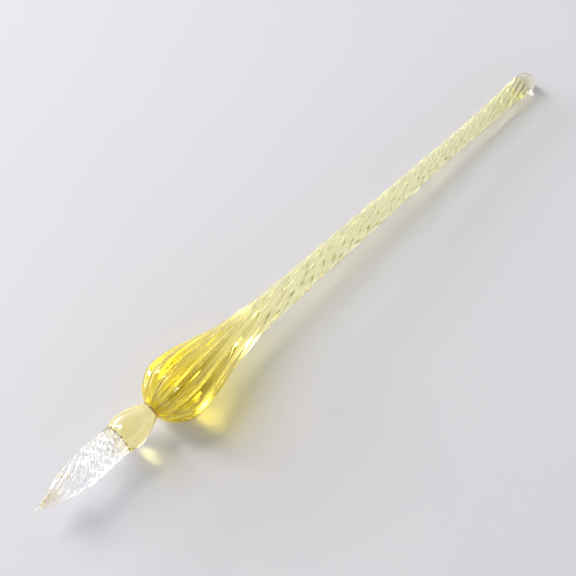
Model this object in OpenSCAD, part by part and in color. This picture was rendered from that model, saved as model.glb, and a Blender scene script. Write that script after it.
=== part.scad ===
// Glass dip pen lying on a flat surface, as it rests on its bulb and its far end.
// The pen's own axis runs from the writing tip at x = 0 to the far end at x = pen_length.
// All pieces are solid glass, fused face to face or root in socket.

/* [Overall] */
// Length from the writing tip to the far end
pen_length = 180; // [145:1:220]

/* [Nib] */
// Length of clear nib that shows in front of its collar
nib_length = 26.1; // [21:0.1:32]
// Diameter over the flute crests where the nib is widest
nib_d = 8.3; // [6.8:0.1:10]
// Length over which the nib narrows from its widest to the drawn point
nib_taper = 14; // [11:0.5:18]
// Length of the thin drawn point in front of the taper
point_length = 2.4; // [1.5:0.1:3.2]
// Diameter of the rounded writing tip
tip_d = 0.8; // [0.5:0.05:1.2]
// Diameter over the flute crests at the nib's back face
nib_back_d = 7.9; // [6.6:0.1:9]
// Number of spiral flutes
flutes = 12; // [8:1:14]
// Depth of a flute where the nib is widest
flute_depth = 0.62; // [0.2:0.02:0.9]
// Length in which a flute goes once round at its full twist
flute_pitch = 27; // [18:1:60]
// Diameter of the plain root that is fused into the bead
root_d = 4.6; // [3:0.1:5.6]
// Length of the root behind the nib's back face
root_length = 4.2; // [2.5:0.1:5]

/* [Collar] */
// Width of the amber collar between the nib and the bead
collar_w = 0.6; // [0.3:0.05:1]
// Diameter of the amber collar
collar_d = 7.6; // [6.4:0.1:8.6]

/* [Bead] */
// Length of the bead from the collar to the neck ring
bead_length = 9.6; // [8.4:0.1:13]
// Largest diameter of the bead
bead_d = 9.2; // [8:0.1:11]
// Distance from the bead's front face to its largest diameter
bead_front = 2.8; // [1.5:0.1:4]
// Diameter of the bead's front face
bead_lip_d = 7.9; // [6.6:0.1:8.8]
// Diameter of the bead's neck
neck_d = 4.7; // [4.2:0.1:5.8]
// Diameter of the spigot on the bead that is fused into the bulb
spigot_d = 3.4; // [2.6:0.1:3.8]
// Length of the spigot inside the bulb
spigot_length = 2.4; // [1:0.1:4]

/* [Neck ring] */
// Width of the amber ring wound round the neck
ring_w = 0.7; // [0.4:0.05:1.2]
// Outer diameter of the ring
ring_d = 5; // [4.4:0.1:6]

/* [Bulb] */
// Largest diameter over the rib crests
bulb_d = 17.2; // [14:0.1:21]
// Distance from the bulb's nose to its largest diameter
nose_length = 7.6; // [6:0.1:10]
// Diameter of the nose face against the ring
nose_d = 5.4; // [5.2:0.1:7]
// Length of the bulb up to the joint with the shaft
bulb_length = 27.5; // [22:0.5:34]
// Distance over which the swelling fades into the stem
swell_fade = 16.5; // [13:0.5:20]
// Number of ribs round the bulb and the shaft
ribs = 11; // [8:1:14]
// Depth of a groove as a share of the radius
groove_share = 0.11; // [0.02:0.01:0.14]

/* [Shaft] */
// Diameter the stem would have at the middle of the bulb, without the swelling
stem_d = 8.4; // [6.8:0.1:10]
// Diameter at the thinnest place
thin_d = 4.9; // [4:0.1:6]
// Distance from the thinnest place to the end of the ribs
flare_length = 29; // [24:1:36]
// Diameter over the ribs where they end
flare_d = 5.7; // [4.8:0.1:7]
// Length in which a rib goes once round at the thinnest place
rib_pitch = 44; // [32:1:70]

/* [Finial] */
// How much wider the round drop at the far end is than the ribs that run into it
drop_proud = 0.1; // [0:0.05:0.6]
// Length of its straight part
barrel_length = 1; // [0.8:0.1:4]

/* [Hidden] */
$fn = 64;

// Room between a root or spigot and its socket: the glass is fused, so there is none
fuse_gap = 0;
// How far a groove on the nose starts shallower than the rest, and over what length it deepens
nose_groove = 0.5;
nose_fade = 4;
// Length over which the ribs run out before the finial
runout = 3;
// How far behind the bulb's widest place a groove points straight down, so that two ribs carry the pen
touch_back = 1.3;
// Bluntness of the bulb's nose, of the bead's back and of the nib's taper
nose_power = 0.75;
bead_power = 1.6;
taper_power = 1.8;
// Length over which the flutes reach their full twist, and how late they do
twist_in = 20;
twist_power = 1.5;
// Numbers of rings along the pieces, and of points across one rib or flute
nib_rings = 34;
bulb_rings = 28;
shaft_rings = 72;
rib_points = 4;
outline_steps = 14;
ring_round = 0.3;

finial_d = flare_d + drop_proud;
nib_back_x = nib_length;
bead_front_x = nib_back_x + collar_w;
bead_wide_x = bead_front_x + bead_front;
neck_x = bead_front_x + bead_length;
nose_x = neck_x + ring_w;
bulb_wide_x = nose_x + nose_length;
joint_x = nose_x + bulb_length;
rib_end_x = pen_length - finial_d / 2 - barrel_length;
thin_x = rib_end_x - flare_length;
dome_x = pen_length - finial_d / 2;

// Radius of the plain stem: a slender cone to the thinnest place, then a flare
function stem_r(x) = x < thin_x
    ? thin_d / 2 + (stem_d - thin_d) / 2 * (thin_x - x) / (thin_x - bulb_wide_x)
    : thin_d / 2 + (flare_d - thin_d) / 2 * pow((x - thin_x) / flare_length, 2);

// Radius over the ribs, from the bulb's nose to the finial
function rib_r(x) = x < bulb_wide_x
    ? nose_d / 2 + (bulb_d - nose_d) / 2 * pow(max(0, 1 - pow((bulb_wide_x - x) / nose_length, 2)), nose_power)
    : stem_r(x) + (bulb_d - stem_d) / 2 * exp(-pow((x - bulb_wide_x) / swell_fade, 2));

// Depth of the grooves as a share of the radius: shallow at the nose, run out at the finial
function rib_share(x) = groove_share
    * min(1, nose_groove + (1 - nose_groove) * (x - nose_x) / nose_fade)
    * min(1, (rib_end_x - x) / runout);

// Degrees of twist in one millimetre: thin glass twists more
function rib_rate(x) = 360 / rib_pitch * pow(thin_d / 2 / rib_r(x), 2);

// Radius over the flutes from the tip to the back face
function nib_r(x) =
    let (wide = point_length + nib_taper, u = max(0, min(1, (wide - x) / nib_taper)))
    x < wide
        ? tip_d / 2 + 0.04 * x + (nib_d / 2 - tip_d / 2 - 0.04 * wide) * (1 - pow(u, taper_power))
        : nib_d / 2 - (nib_d - nib_back_d) / 2 * pow((x - wide) / (nib_back_x - wide), 2);

function flute_share(x) = 2 * flute_depth / nib_d * min(1, x / point_length);
function flute_rate(x) = 360 / flute_pitch * min(1, pow(x / twist_in, twist_power));

// The sum of a rate over the rings, in degrees at each ring
function turned(xs, rates) = [for (i = 0, a = 0; i < len(xs);
    a = a + (i + 1 < len(xs) ? (xs[i + 1] - xs[i]) * (rates[i] + rates[i + 1]) / 2 : 0), i = i + 1) a];

// One ring of a ribbed rod: angle 0 points down and is the bottom of a groove when turn is 0
function ring_points(x, r, share, turn, count) = [for (j = [0 : count * rib_points - 1])
    let (a = 360 * j / (count * rib_points), radius = r * (1 - share * (1 - abs(sin(a * count / 2)))))
    [x, radius * sin(a - turn), -radius * cos(a - turn)]];

function flat(lists) = [for (list = lists) for (item = list) item];

// The middle of a ring
function centre(ring) = [for (k = [0 : 2]) [for (p = ring) p[k]] * [for (p = ring) 1] / len(ring)];

// A closed solid through rings that all have the same number of points, each end a fan round its middle
module ringed(rings) {
    m = len(rings[0]);
    last = len(rings) - 1;
    near_middle = (last + 1) * m;
    polyhedron(points = concat(flat(rings), [centre(rings[0]), centre(rings[last])]), faces = concat(
        [for (j = [0 : m - 1]) [near_middle, j, (j + 1) % m]],
        [for (j = [0 : m - 1]) [near_middle + 1, last * m + (j + 1) % m, last * m + j]],
        [for (i = [0 : last - 1]) for (j = [0 : m - 1]) [i * m + j, (i + 1) * m + j, i * m + (j + 1) % m]],
        [for (i = [0 : last - 1]) for (j = [0 : m - 1])
            [i * m + (j + 1) % m, (i + 1) * m + j, (i + 1) * m + (j + 1) % m]]));
}

// A turned piece: its outline is [distance along the pen, radius]
module turned_piece(outline) rotate([0, 90, 0])
    rotate_extrude() polygon([for (p = outline) [p[1], p[0]]]);

bulb_xs = [for (i = [0 : bulb_rings]) nose_x + bulb_length * pow(i / bulb_rings, 1.25)];
shaft_xs = [for (i = [0 : shaft_rings]) joint_x + (rib_end_x - joint_x) * i / shaft_rings];
body_xs = concat(bulb_xs, [for (i = [1 : shaft_rings]) shaft_xs[i]]);
body_turn = turned(body_xs, [for (x = body_xs) rib_rate(x)]);
touch_turn = lookup(bulb_wide_x + touch_back, [for (i = [0 : len(body_xs) - 1]) [body_xs[i], body_turn[i]]]);
body = [for (i = [0 : len(body_xs) - 1])
    ring_points(body_xs[i], rib_r(body_xs[i]), rib_share(body_xs[i]), body_turn[i] - touch_turn, ribs)];

nib_xs = [for (i = [0 : nib_rings]) nib_back_x * pow(i / nib_rings, 1.2)];
nib_turn = turned(nib_xs, [for (x = nib_xs) flute_rate(x)]);
nib_body = [for (i = [0 : nib_rings])
    ring_points(nib_xs[i], nib_r(nib_xs[i]), flute_share(nib_xs[i]), nib_turn[i], flutes)];

// The slope at which the pen rests on the lowest ribs of the bulb and on the round far end
lowest = [for (i = [0 : bulb_rings]) max([for (p = body[i]) -p.z])];
rest_tilt = max([for (i = [0 : bulb_rings]) let (dx = dome_x - bulb_xs[i])
    atan(lowest[i] / dx) - asin(finial_d / 2 / norm([dx, lowest[i]]))]);
rest_height = dome_x * sin(rest_tilt) + finial_d / 2;
middle_x = (dome_x * cos(rest_tilt) + finial_d / 2) / 2;
sides = [for (i = [0 : bulb_rings]) for (p = body[i]) p.y];
middle_y = (max(sides) + min(sides)) / 2;

module at_rest() translate([-middle_x, -middle_y, rest_height]) rotate([0, rest_tilt, 0]) children();

module nib() color([0.93, 0.94, 0.95, 0.6]) at_rest() {
    ringed(nib_body);
    turned_piece([[nib_back_x, 0], [nib_back_x, root_d / 2],
        [nib_back_x + root_length, root_d / 2], [nib_back_x + root_length, 0]]);
}

module nib_collar() color([0.72, 0.47, 0.16]) at_rest()
    turned_piece([[nib_back_x, root_d / 2 + fuse_gap],
        for (s = [0 : outline_steps]) let (a = 180 * s / outline_steps)
            [nib_back_x + collar_w * (1 - cos(a)) / 2, collar_d / 2 - collar_w / 2 * (1 - sin(a))],
        [bead_front_x, root_d / 2 + fuse_gap]]);

module bead() color([0.84, 0.81, 0.52]) at_rest()
    turned_piece(concat(
        [[nib_back_x + root_length + fuse_gap, 0], [nib_back_x + root_length + fuse_gap, root_d / 2 + fuse_gap],
            [bead_front_x, root_d / 2 + fuse_gap]],
        [for (s = [0 : outline_steps]) let (u = 1 - s / outline_steps)
            [bead_wide_x - bead_front * u, bead_lip_d / 2 + (bead_d - bead_lip_d) / 2 * sqrt(1 - u * u)]],
        [for (s = [1 : outline_steps]) let (u = s / outline_steps)
            [bead_wide_x + (neck_x - bead_wide_x) * u,
                neck_d / 2 + (bead_d - neck_d) / 2 * (1 - pow(u, bead_power))]],
        [[neck_x, spigot_d / 2], [nose_x + spigot_length, spigot_d / 2], [nose_x + spigot_length, 0]]));

module neck_ring() color([0.5, 0.27, 0.1]) at_rest()
    turned_piece([[neck_x, spigot_d / 2 + fuse_gap],
        for (s = [0 : outline_steps]) let (a = 180 * s / outline_steps)
            [neck_x + ring_w * (1 - cos(a)) / 2, ring_d / 2 - ring_round * (1 - sin(a))],
        [nose_x, spigot_d / 2 + fuse_gap]]);

module bulb() color([0.87, 0.7, 0.13]) at_rest() difference() {
    ringed([for (i = [0 : bulb_rings]) body[i]]);
    turned_piece([[nose_x - 1, 0], [nose_x - 1, spigot_d / 2 + fuse_gap],
        [nose_x + spigot_length + fuse_gap, spigot_d / 2 + fuse_gap], [nose_x + spigot_length + fuse_gap, 0]]);
}

module shaft() color([0.93, 0.89, 0.55]) at_rest()
    ringed([for (i = [bulb_rings : bulb_rings + shaft_rings]) body[i]]);

module finial() color([0.9, 0.88, 0.68]) at_rest()
    turned_piece(concat(
        [[rib_end_x, 0], [rib_end_x, flare_d / 2]],
        [for (s = [0 : outline_steps]) let (a = 90 * s / outline_steps)
            [dome_x + finial_d / 2 * sin(a), finial_d / 2 * cos(a)]]));

nib();
nib_collar();
bead();
neck_ring();
bulb();
shaft();
finial();
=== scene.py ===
"""A glass dip pen on a pale table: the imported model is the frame, and glass meshes stand for its nodes."""
import math
import random

import bpy
from mathutils import Matrix, Vector


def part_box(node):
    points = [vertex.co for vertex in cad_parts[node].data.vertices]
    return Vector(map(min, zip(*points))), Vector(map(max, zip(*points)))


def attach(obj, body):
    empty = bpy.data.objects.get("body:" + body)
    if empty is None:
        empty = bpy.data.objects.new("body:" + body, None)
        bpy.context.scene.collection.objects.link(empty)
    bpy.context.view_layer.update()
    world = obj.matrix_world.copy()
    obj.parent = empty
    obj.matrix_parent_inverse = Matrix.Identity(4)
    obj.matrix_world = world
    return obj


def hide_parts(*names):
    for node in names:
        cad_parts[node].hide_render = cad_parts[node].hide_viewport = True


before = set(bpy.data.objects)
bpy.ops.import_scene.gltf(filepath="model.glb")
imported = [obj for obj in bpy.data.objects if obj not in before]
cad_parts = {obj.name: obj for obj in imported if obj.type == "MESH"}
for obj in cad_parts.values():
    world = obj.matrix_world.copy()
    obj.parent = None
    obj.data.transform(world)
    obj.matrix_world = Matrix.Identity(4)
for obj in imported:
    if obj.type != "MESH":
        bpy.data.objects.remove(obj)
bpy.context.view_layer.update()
MM = 0.001

# The part's own sizes in millimetres. The pen's axis runs from the writing tip at 0 to the far end.
PEN_LENGTH = 180.0
NIB_LENGTH = 26.1
NIB_D = 8.3
NIB_TAPER = 14.0
POINT_LENGTH = 2.4
TIP_D = 0.8
NIB_BACK_D = 7.9
FLUTES = 12
FLUTE_DEPTH = 0.62
FLUTE_PITCH = 27.0
COLLAR_W = 0.6
COLLAR_D = 7.6
BEAD_LENGTH = 9.6
BEAD_D = 9.2
BEAD_FRONT = 2.8
BEAD_LIP_D = 7.9
NECK_D = 4.7
RING_W = 0.7
RING_D = 5.0
BULB_D = 17.2
NOSE_LENGTH = 7.6
NOSE_D = 5.4
SWELL_FADE = 16.5
RIBS = 11
GROOVE_SHARE = 0.11
STEM_D = 8.4
THIN_D = 4.9
FLARE_LENGTH = 29.0
FLARE_D = 5.7
RIB_PITCH = 44.0
FINIAL_D = 5.8
BARREL_LENGTH = 1.0
NOSE_GROOVE = 0.5
NOSE_FADE = 4.0
RUNOUT = 3.0
TOUCH_BACK = 1.3
NOSE_POWER = 0.75
BEAD_POWER = 1.6
TAPER_POWER = 1.8
TWIST_IN = 20.0
TWIST_POWER = 1.5

BEAD_X = NIB_LENGTH + COLLAR_W
BEAD_WIDE_X = BEAD_X + BEAD_FRONT
NECK_X = BEAD_X + BEAD_LENGTH
NOSE_X = NECK_X + RING_W
WIDE_X = NOSE_X + NOSE_LENGTH
DOME_X = PEN_LENGTH - FINIAL_D / 2
RIB_END_X = DOME_X - BARREL_LENGTH
THIN_X = RIB_END_X - FLARE_LENGTH

# Fused pieces run into each other by this much, so that no film of air is left between them
FUSE = 0.03
# The frame's facets cut a little off the twisted ribs, so smooth ribs rest this much higher at the collar
RIB_SAG = 0.075

# Drawn glass is uneven: how much the grooves differ in depth, and how round their bottoms are
FLUTE_UNEVEN = 0.12
FLUTE_SOFT = 0.16
RIB_UNEVEN = 0.10
RIB_SOFT = 0.12
# Over this length behind the bulb's widest place the grooves get this much rounder and the striae fade
CALM_LENGTH = 30.0
CALM_SOFT = 0.12
CALM_STRIAE = 0.55
# The radius that the point gains per millimetre, before the flutes swell it
POINT_SLOPE = 0.04

# Striae: fine waves round the drawn rod, at every third count from the first to below the last
STRIAE_FIRST = 14
STRIAE_LAST = 44
STRIAE_STEP = 3
STRIAE_STEEP = 0.11
STRIAE_DRIFT = 0.05
STRIAE_PHASE = 6.28

# The collar's drops: their length, its spread, how narrow and blunt they are, and how proud they stand
DROP_LENGTH = 1.7
DROP_SPREAD = 0.35
DROP_NARROW = 1.25
DROP_POWER = 0.6
DROP_HEIGHT = 0.24
# The collar's rim bulges a little, and takes its own round shape in the first two thirds of its width
RIM_BULGE = 0.08
RIM_BLEND = 1.5
# The bead swells forward between the drops, less and less over this length
SEAM_SWELL = 0.45
SEAM_FADE = 1.4
# The neck ring's edges are rounded by this much, and the finial starts with a low step up from the ribs
RING_ROUND = 0.3
FINIAL_LEAD = 0.3
FINIAL_STEP = 0.02
DOME_END = 88

# How finely each mesh is divided, round the pen and along it
NIB_RING = 240
HANDLE_RING = 264
PLAIN_RING = 96
TIP_START = 0.004
TIP_STEPS = 8
NIB_STEPS = 190
DROP_STEPS = 6
BEAD_FRONT_STEPS = 30
BEAD_BACK_STEPS = 60
RING_STEPS = 12
NOSE_STEPS = 40
SWELL_LENGTH = 22
SWELL_STEPS = 64
SHAFT_STEPS = 262
DOME_STEPS = 30
SHARP_ANGLE = 50

# Faint waviness that the flame leaves on every glass, and the refractive index they share
WAVE_SCALE = 420.0
WAVE_DETAIL = 2.0
WAVE_STRENGTH = 0.35
GLASS_IOR = 1.5
# The stretch of the frame's X, in metres, over which the handle's gold pales
GOLD_END = -0.054
PALE_START = -0.01

# The viewpoint, in degrees and metres
CAMERA_AZIMUTH = -45.24
CAMERA_ELEVATION = 63.5
CAMERA_DISTANCE = 0.3235
CAMERA_TARGET = (-0.00379, 0.00281, 0.0)
FIELD_OF_VIEW = 26.0

TABLE_HALF = 1.6
# The lights face this place, in metres, and the room is bright below the horizon and dim overhead
LIT_PLACE = (-0.03, 0.0, 0.0)
ROOM_BRIGHT = 1.9
ROOM_DIM = 0.3


def make_camera():
    """A view from above, over the nib's side, close enough to foreshorten the far end."""
    azimuth = math.radians(CAMERA_AZIMUTH)
    elevation = math.radians(CAMERA_ELEVATION)
    level = math.cos(elevation)
    back = Vector((math.sin(azimuth) * level, -math.cos(azimuth) * level, math.sin(elevation)))
    data = bpy.data.cameras.new("camera")
    data.sensor_width = 36.0
    data.lens = data.sensor_width / 2 / math.tan(math.radians(FIELD_OF_VIEW / 2))
    data.clip_start = 0.01
    data.clip_end = 20.0
    camera = bpy.data.objects.new("camera", data)
    camera.location = Vector(CAMERA_TARGET) + back * CAMERA_DISTANCE
    camera.rotation_mode = "QUATERNION"
    camera.rotation_quaternion = (-back).to_track_quat("-Z", "Y")
    bpy.context.scene.collection.objects.link(camera)
    bpy.context.scene.camera = camera


def pen_matrix():
    """Where the pen lies: its axis goes through the middle of the collar and of the far end's dome."""
    low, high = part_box("nib_collar")
    collar = (low + high) / 2 + Vector((0.0, 0.0, RIB_SAG * MM))
    low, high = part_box("finial")
    radius = FINIAL_D / 2 * MM
    dome = Vector((high.x - radius, (low.y + high.y) / 2, low.z + radius))
    along = (dome - collar).normalized()
    side = Vector((0.0, 1.0, 0.0))
    up = along.cross(side).normalized()
    tip = collar - along * (NIB_LENGTH + COLLAR_W / 2) * MM
    turn = Matrix((along, side, up)).transposed().to_4x4()
    return Matrix.Translation(tip) @ turn @ Matrix.Scale(MM, 4)


def clamp(value):
    return min(1.0, max(0.0, value))


def spread(start, end, count):
    """Evenly spaced values from start to end, count steps apart."""
    return [start + (end - start) * i / count for i in range(count + 1)]


def ring_angles(count):
    return [360 * j / count for j in range(count)]


def jitter(seed, count, size):
    draw = random.Random(seed)
    return [draw.uniform(-size, size) for _ in range(count)]


def stem_r(x):
    if x < THIN_X:
        return THIN_D / 2 + (STEM_D - THIN_D) / 2 * (THIN_X - x) / (THIN_X - WIDE_X)
    return THIN_D / 2 + (FLARE_D - THIN_D) / 2 * ((x - THIN_X) / FLARE_LENGTH) ** 2


def rib_r(x):
    """Radius over the ribs' crests, in the bulb's nose and then along the stem."""
    if x < WIDE_X:
        fall = max(0.0, 1 - ((WIDE_X - x) / NOSE_LENGTH) ** 2)
        return NOSE_D / 2 + (BULB_D - NOSE_D) / 2 * fall ** NOSE_POWER
    return stem_r(x) + (BULB_D - STEM_D) / 2 * math.exp(-((x - WIDE_X) / SWELL_FADE) ** 2)


def rib_share(x):
    """Depth of the grooves as a share of the radius, with a run-out at both ends."""
    start = clamp(NOSE_GROOVE + (1 - NOSE_GROOVE) * (x - NOSE_X) / NOSE_FADE)
    return GROOVE_SHARE * start * clamp((RIB_END_X - x) / RUNOUT)


def rib_rate(x):
    """Twist in degrees per millimetre: thick glass twists less than thin glass."""
    return 360 / RIB_PITCH * (THIN_D / 2 / rib_r(x)) ** 2


def nib_r(x):
    wide = POINT_LENGTH + NIB_TAPER
    if x < wide:
        swell = 1 - clamp((wide - x) / NIB_TAPER) ** TAPER_POWER
        point = TIP_D / 2 + POINT_SLOPE * x
        return point + (NIB_D / 2 - TIP_D / 2 - POINT_SLOPE * wide) * swell
    return NIB_D / 2 - (NIB_D - NIB_BACK_D) / 2 * ((x - wide) / (NIB_LENGTH - wide)) ** 2


def flute_share(x):
    return 2 * FLUTE_DEPTH / NIB_D * min(1.0, x / POINT_LENGTH)


def flute_rate(x):
    return 360 / FLUTE_PITCH * min(1.0, (max(0.0, x) / TWIST_IN) ** TWIST_POWER)


def turned(stations, rate):
    """The twist at each station, in degrees, from 0 at the first."""
    turns = [0.0]
    for a, b in zip(stations, stations[1:]):
        turns.append(turns[-1] + (b - a) * (rate(a) + rate(b)) / 2)
    return turns


NIB_TIP_STATIONS = spread(TIP_START, TIP_D / 2, TIP_STEPS)
NIB_STATIONS = NIB_TIP_STATIONS + spread(TIP_D / 2, NIB_LENGTH + FUSE, NIB_STEPS)[1:]
NIB_TURNS = turned(NIB_STATIONS, flute_rate)
NIB_GROOVES = jitter(3, FLUTES, FLUTE_UNEVEN)


def lobe(angle, count, soft):
    """1 on a crest and 0 in a groove; soft rounds the bottom of the groove."""
    wave = math.sin(math.radians(angle * count / 2))
    return (math.sqrt(wave * wave + soft * soft) - soft) / (math.sqrt(1 + soft * soft) - soft)


def nearest(angle, count):
    """Which of the grooves an angle is nearest to."""
    return int(angle * count / 360 + 0.5) % count


def at(x, radius, angle):
    """A point of the pen, with angle 0 at its bottom."""
    a = math.radians(angle)
    return Vector((x, radius * math.sin(a), -radius * math.cos(a)))


def turned_loops(outline):
    """The loops of a plain round piece."""
    return [[at(x, r, a) for a in ring_angles(PLAIN_RING)] for x, r in outline]


def closed_mesh(name, loops, matrix):
    """A closed mesh through loops with equally many points, each end a fan round the loop's middle."""
    count = len(loops[0])
    points = [matrix @ p for loop in loops for p in loop]
    first = len(points)
    last = first + 1
    for loop in (loops[0], loops[-1]):
        points.append(matrix @ (sum(loop, Vector()) / count))
    end = (len(loops) - 1) * count
    faces = []
    for j in range(count):
        faces.append((first, (j + 1) % count, j))
        faces.append((last, end + j, end + (j + 1) % count))
    for i in range(len(loops) - 1):
        for j in range(count):
            a = i * count + j
            b = i * count + (j + 1) % count
            faces.append((a, b, b + count, a + count))
    mesh = bpy.data.meshes.new(name)
    mesh.from_pydata([tuple(p) for p in points], [], faces)
    mesh.validate()
    mesh.polygons.foreach_set("use_smooth", [True] * len(mesh.polygons))
    mesh.set_sharp_from_angle(angle=math.radians(SHARP_ANGLE))
    piece = bpy.data.objects.new(name, mesh)
    bpy.context.scene.collection.objects.link(piece)
    return piece


def flame_waves(nodes, links, noise, shader, wave, rough):
    """Haze that comes and goes between the two roughnesses, and a waviness wave millimetres high."""
    haze = nodes.new("ShaderNodeMapRange")
    haze.inputs["To Min"].default_value = rough[0]
    haze.inputs["To Max"].default_value = rough[1]
    links.new(noise.outputs["Fac"], haze.inputs["Value"])
    links.new(haze.outputs["Result"], shader.inputs["Roughness"])
    bump = nodes.new("ShaderNodeBump")
    bump.inputs["Strength"].default_value = WAVE_STRENGTH
    bump.inputs["Distance"].default_value = wave * MM
    links.new(noise.outputs["Fac"], bump.inputs["Height"])
    links.new(bump.outputs["Normal"], shader.inputs["Normal"])


def glass(name, absorb, density, tint=None, wave=0.02, milk=0.0, base=(1, 1, 1), rough=(0.0, 0.03)):
    """Solid glass, whose colour deepens with the way through it. milk is the share that scatters."""
    material = bpy.data.materials.new(name)
    material.use_nodes = True
    nodes = material.node_tree.nodes
    links = material.node_tree.links
    nodes.clear()
    out = nodes.new("ShaderNodeOutputMaterial")
    shader = nodes.new("ShaderNodeBsdfPrincipled")
    shader.inputs["Base Color"].default_value = (*base, 1)
    shader.inputs["Transmission Weight"].default_value = 1.0 - milk
    shader.inputs["IOR"].default_value = GLASS_IOR
    links.new(shader.outputs["BSDF"], out.inputs["Surface"])
    where = nodes.new("ShaderNodeTexCoord")
    noise = nodes.new("ShaderNodeTexNoise")
    noise.inputs["Scale"].default_value = WAVE_SCALE
    noise.inputs["Detail"].default_value = WAVE_DETAIL
    links.new(where.outputs["Object"], noise.inputs["Vector"])
    flame_waves(nodes, links, noise, shader, wave, rough)
    if tint:
        tint(nodes, links, where, shader)
    volume = nodes.new("ShaderNodeVolumeAbsorption")
    volume.inputs["Color"].default_value = (*absorb, 1)
    volume.inputs["Density"].default_value = density
    links.new(volume.outputs["Volume"], out.inputs["Volume"])
    return material


def golden_nose(nodes, links, where, shader):
    """The glass is deepest in colour at the bulb's nose and pales towards the shaft."""
    split = nodes.new("ShaderNodeSeparateXYZ")
    links.new(where.outputs["Object"], split.inputs["Vector"])
    along = nodes.new("ShaderNodeMapRange")
    along.inputs["From Min"].default_value = GOLD_END
    along.inputs["From Max"].default_value = PALE_START
    links.new(split.outputs["X"], along.inputs["Value"])
    ramp = nodes.new("ShaderNodeValToRGB")
    ramp.color_ramp.elements[0].color = (1.0, 0.84, 0.04, 1)
    ramp.color_ramp.elements[1].color = (1.0, 0.985, 0.85, 1)
    links.new(along.outputs["Result"], ramp.inputs["Fac"])
    links.new(ramp.outputs["Color"], shader.inputs["Base Color"])


def clear_glass():
    return glass("clear glass", (0.97, 0.98, 0.99), 8.0, wave=0.03)


def amber_glass():
    return glass("amber glass", (0.99, 0.84, 0.1), 300.0, wave=0.01)


def pale_glass():
    """The bead's glass is slightly cloudy."""
    cloud = {"milk": 0.1, "base": (1.0, 0.98, 0.8), "rough": (0.04, 0.12)}
    return glass("pale glass", (0.98, 0.93, 0.5), 205.0, **cloud)


def brown_glass():
    return glass("brown glass", (0.75, 0.45, 0.03), 450.0, wave=0.01)


def yellow_glass():
    return glass("yellow glass", (1.0, 0.945, 0.0), 55.0, tint=golden_nose, wave=0.006, milk=0.02)


def end_glass():
    return glass("end glass", (0.98, 0.93, 0.3), 60.0, wave=0.01, milk=0.03)


def finish_piece(piece, material, slot, *nodes):
    piece.data.materials.append(material)
    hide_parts(*nodes)
    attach(piece, "root")


def nib_surface(x, angle, turn):
    """Radius of the nib at a station, and the angle that it stands at. No two flutes are quite alike."""
    share = flute_share(x) * (1 + NIB_GROOVES[nearest(angle, FLUTES)])
    radius = nib_r(x) * (1 - share * (1 - lobe(angle, FLUTES, FLUTE_SOFT)))
    if x < TIP_D / 2:
        radius = min(radius, math.sqrt(max(1e-6, x * (TIP_D - x))))
    return radius, angle - turn


def build_nib(matrix):
    loops = []
    for x, turn in zip(NIB_STATIONS, NIB_TURNS):
        loops.append([at(x, *nib_surface(x, a, turn)) for a in ring_angles(NIB_RING)])
    piece = closed_mesh("nib_glass", loops, matrix)
    finish_piece(piece, clear_glass(), "clear_glass", "nib")


def seam_x(angle):
    """Where the bead begins: it swells forward between the drops of the collar."""
    return BEAD_X - SEAM_SWELL * lobe(angle, FLUTES, FLUTE_SOFT)


def drop_length(angle, reach):
    """How far the collar runs into the flutes at an angle."""
    shape = max(0.0, 1 - lobe(angle, FLUTES, FLUTE_SOFT) * DROP_NARROW) ** DROP_POWER
    return (DROP_LENGTH + reach[nearest(angle, FLUTES)]) * shape


def drop_loop(part, lift, reach):
    """part 0 is a drop's front edge and 1 the nib's back face; lift is how proud of the flute it stands."""
    loop = []
    for a in ring_angles(NIB_RING):
        x = NIB_LENGTH - FUSE - drop_length(a, reach) * (1 - part)
        turn = NIB_TURNS[-1] - (NIB_LENGTH - x) * flute_rate(x)
        radius, angle = nib_surface(x, a, turn)
        loop.append(at(x, radius + lift, angle))
    return loop


def rim_loop(edge, s):
    """The collar's rim, with s from 0 at the edge where the drops end to 1 at the bead."""
    round_r = COLLAR_D / 2 + RIM_BULGE * math.sin(math.pi * s)
    blend = min(1.0, s * RIM_BLEND)
    loop = []
    for a, point in zip(ring_angles(NIB_RING), edge):
        radius = math.hypot(point.y, point.z) * (1 - blend) + round_r * blend
        x = NIB_LENGTH + (seam_x(a) - NIB_LENGTH + FUSE) * s
        loop.append(at(x, radius, a - NIB_TURNS[-1]))
    return loop


def build_collar(matrix):
    """The amber seam: a thin disc that runs a drop into the end of each flute."""
    reach = jitter(5, FLUTES, DROP_SPREAD)
    loops = [drop_loop(part, -FUSE, reach) for part in (1.0, 0.75, 0.5, 0.25, 0.0)]
    for s in spread(0, 1, DROP_STEPS)[1:]:
        arc = math.pi / 2 * s
        loops.append(drop_loop(1 - math.cos(arc), DROP_HEIGHT * math.sin(arc), reach))
    edge = loops[-1]
    loops += [rim_loop(edge, s) for s in spread(0, 1, DROP_STEPS)[1:]]
    piece = closed_mesh("collar_glass", loops, matrix)
    finish_piece(piece, amber_glass(), "amber_glass", "nib_collar")


def bead_outline():
    outline = []
    for s in spread(0, 1, BEAD_FRONT_STEPS):
        arc = math.pi / 2 * s
        radius = BEAD_LIP_D / 2 + (BEAD_D - BEAD_LIP_D) / 2 * math.sin(arc)
        outline.append((BEAD_WIDE_X - BEAD_FRONT * math.cos(arc), radius))
    for u in spread(0, 1, BEAD_BACK_STEPS)[1:]:
        radius = NECK_D / 2 + (BEAD_D - NECK_D) / 2 * (1 - u ** BEAD_POWER)
        outline.append((BEAD_WIDE_X + (NECK_X - BEAD_WIDE_X) * u, radius))
    outline[0] = (BEAD_X - FUSE, outline[0][1])
    outline.append((NECK_X + FUSE, NECK_D / 2))
    return outline


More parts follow.
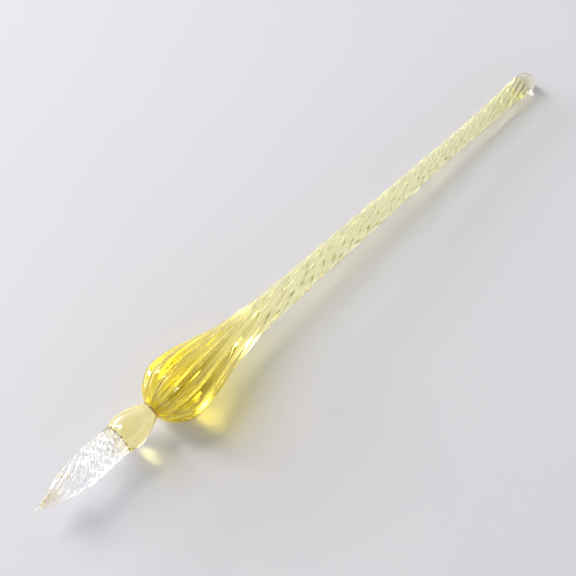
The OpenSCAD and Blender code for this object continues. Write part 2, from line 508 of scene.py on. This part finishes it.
def build_bead(matrix):
    loops = []
    for x, radius in bead_outline():
        fade = max(0.0, 1 - (x - BEAD_X) / SEAM_FADE)
        loop = []
        for a in ring_angles(NIB_RING):
            loop.append(at(x + (seam_x(a) - BEAD_X) * fade, radius, a - NIB_TURNS[-1]))
        loops.append(loop)
    piece = closed_mesh("bead_glass", loops, matrix)
    finish_piece(piece, pale_glass(), "pale_glass", "bead")


def build_neck_ring(matrix):
    outline = []
    for s in spread(0, 1, RING_STEPS):
        arc = math.pi * s
        x = NECK_X - FUSE + (RING_W + 2 * FUSE) * (1 - math.cos(arc)) / 2
        outline.append((x, RING_D / 2 - RING_ROUND * (1 - math.sin(arc))))
    piece = closed_mesh("neck_ring_glass", turned_loops(outline), matrix)
    finish_piece(piece, brown_glass(), "amber_glass", "neck_ring")


def striae():
    """Fine waves round the drawn rod, each as its count, height, phase and drift along the rod."""
    draw = random.Random(21)
    waves = []
    for count in range(STRIAE_FIRST, STRIAE_LAST, STRIAE_STEP):
        phase = draw.uniform(0, STRIAE_PHASE)
        drift = draw.uniform(-STRIAE_DRIFT, STRIAE_DRIFT)
        waves.append((count, STRIAE_STEEP / count, phase, drift))
    return waves


def drawn(waves, angle, x):
    a = math.radians(angle)
    return sum(height * math.cos(k * a + phase + drift * x) for k, height, phase, drift in waves)


def handle_stations():
    """Stations from the bulb's nose to the end of the ribs, closest together where the outline bends."""
    start = NOSE_X - FUSE
    stations = []
    for s in spread(0, 1, NOSE_STEPS):
        stations.append(start + (WIDE_X - start) * (1 - math.cos(math.pi / 2 * s)))
    stations += spread(WIDE_X, WIDE_X + SWELL_LENGTH, SWELL_STEPS)[1:]
    stations += spread(WIDE_X + SWELL_LENGTH, RIB_END_X + FUSE, SHAFT_STEPS)[1:]
    return stations


def handle_loop(x, turn, uneven, waves):
    """The ribbed outline at a station: grooves of uneven depth, with striae that die out with them."""
    calm = clamp((x - WIDE_X) / CALM_LENGTH)
    soft = RIB_SOFT + CALM_SOFT * calm
    loop = []
    for a in ring_angles(HANDLE_RING):
        share = rib_share(x) * (1 + uneven[nearest(a, RIBS)])
        fine = drawn(waves, a, x) * share / GROOVE_SHARE * (1 - CALM_STRIAE * calm)
        radius = rib_r(x) * (1 - share * (1 - lobe(a, RIBS, soft)) + fine)
        loop.append(at(x, radius, a - turn))
    return loop


def build_handle(matrix):
    """Bulb and shaft are one drawn piece of ribbed glass, so one mesh stands for both."""
    stations = handle_stations()
    turns = turned(stations, rib_rate)
    touch = min(range(len(stations)), key=lambda i: abs(stations[i] - WIDE_X - TOUCH_BACK))
    uneven = jitter(11, RIBS, RIB_UNEVEN)
    waves = striae()
    loops = [handle_loop(x, turn - turns[touch], uneven, waves) for x, turn in zip(stations, turns)]
    piece = closed_mesh("handle_glass", loops, matrix)
    finish_piece(piece, yellow_glass(), "yellow_glass", "bulb", "shaft")


def build_finial(matrix):
    outline = [(RIB_END_X - FUSE, FLARE_D / 2)]
    outline.append((RIB_END_X + FINIAL_LEAD, FLARE_D / 2 + FINIAL_STEP))
    outline.append((DOME_X - FINIAL_LEAD, FINIAL_D / 2))
    for degrees in spread(0, DOME_END, DOME_STEPS):
        a = math.radians(degrees)
        outline.append((DOME_X + FINIAL_D / 2 * math.sin(a), FINIAL_D / 2 * math.cos(a)))
    piece = closed_mesh("finial_glass", turned_loops(outline), matrix)
    finish_piece(piece, end_glass(), "end_glass", "finial")


def pale_table():
    """A dull pale surface with faint, broad changes of tone."""
    material = bpy.data.materials.new("pale table")
    material.use_nodes = True
    nodes = material.node_tree.nodes
    links = material.node_tree.links
    shader = nodes["Principled BSDF"]
    where = nodes.new("ShaderNodeTexCoord")
    noise = nodes.new("ShaderNodeTexNoise")
    noise.inputs["Scale"].default_value = 9.0
    noise.inputs["Detail"].default_value = 4.0
    ramp = nodes.new("ShaderNodeValToRGB")
    ramp.color_ramp.elements[0].color = (0.41, 0.406, 0.43, 1)
    ramp.color_ramp.elements[1].color = (0.43, 0.422, 0.44, 1)
    links.new(where.outputs["Object"], noise.inputs["Vector"])
    links.new(noise.outputs["Fac"], ramp.inputs["Fac"])
    links.new(ramp.outputs["Color"], shader.inputs["Base Color"])
    shader.inputs["Roughness"].default_value = 0.7
    shader.inputs["Specular IOR Level"].default_value = 0.25
    return material


def build_floor():
    half = TABLE_HALF
    corners = [(-half, -half, 0), (half, -half, 0), (half, half, 0), (-half, half, 0)]
    mesh = bpy.data.meshes.new("table_top")
    mesh.from_pydata(corners, [], [(0, 1, 2, 3)])
    floor = bpy.data.objects.new("table_top", mesh)
    bpy.context.scene.collection.objects.link(floor)
    floor.data.materials.append(pale_table())


def add_panel(name, toward, distance, size, energy, color):
    """A soft rectangular light, seen in the direction toward from the lit place and facing it."""
    toward = Vector(toward).normalized()
    data = bpy.data.lights.new(name, "AREA")
    data.shape = "RECTANGLE"
    data.size = size[0]
    data.size_y = size[1]
    data.energy = energy
    data.color = color
    light = bpy.data.objects.new(name, data)
    light.location = Vector(LIT_PLACE) + toward * distance
    light.rotation_mode = "QUATERNION"
    light.rotation_quaternion = (-toward).to_track_quat("-Z", "Y")
    bpy.context.scene.collection.objects.link(light)


def build_room():
    """An even room, with its strength falling smoothly from below the horizon to overhead."""
    world = bpy.data.worlds.new("room")
    bpy.context.scene.world = world
    world.use_nodes = True
    nodes = world.node_tree.nodes
    links = world.node_tree.links
    background = nodes["Background"]
    background.inputs["Color"].default_value = (0.97, 0.98, 1.0, 1)
    where = nodes.new("ShaderNodeTexCoord")
    split = nodes.new("ShaderNodeSeparateXYZ")
    links.new(where.outputs["Generated"], split.inputs["Vector"])
    rise = nodes.new("ShaderNodeMapRange")
    rise.interpolation_type = "SMOOTHSTEP"
    rise.inputs["From Min"].default_value = 0.25
    rise.inputs["From Max"].default_value = 0.75
    rise.inputs["To Min"].default_value = ROOM_BRIGHT
    rise.inputs["To Max"].default_value = ROOM_DIM
    links.new(split.outputs["Z"], rise.inputs["Value"])
    links.new(rise.outputs["Result"], background.inputs["Strength"])


def build_lights():
    """One soft key high behind the pen, and a low window behind it that lights the glass's edges."""
    build_room()
    add_panel("key", toward=(-0.144, 0.643, 0.71), distance=1.3, size=(0.29, 0.78), energy=19.6,
              color=(1.0, 0.985, 0.96))
    add_panel("low window", toward=(-0.25, 0.95, 0.22), distance=1.6, size=(1.75, 0.53), energy=31.0,
              color=(1.0, 1.0, 1.0))


def set_render_look():
    """Long light paths and unclamped caustics, which clear glass needs for its bright shadows."""
    scene = bpy.context.scene
    scene.view_settings.view_transform = "Standard"
    scene.cycles.max_bounces = 32
    scene.cycles.transmission_bounces = 32
    scene.cycles.diffuse_bounces = 4
    scene.cycles.glossy_bounces = 16
    scene.cycles.caustics_refractive = True
    scene.cycles.caustics_reflective = True
    scene.cycles.sample_clamp_indirect = 0.0
    scene.cycles.blur_glossy = 0.3


make_camera()
set_render_look()
PEN = pen_matrix()
build_nib(PEN)
build_collar(PEN)
build_bead(PEN)
build_neck_ring(PEN)
build_handle(PEN)
build_finial(PEN)
build_floor()
build_lights()
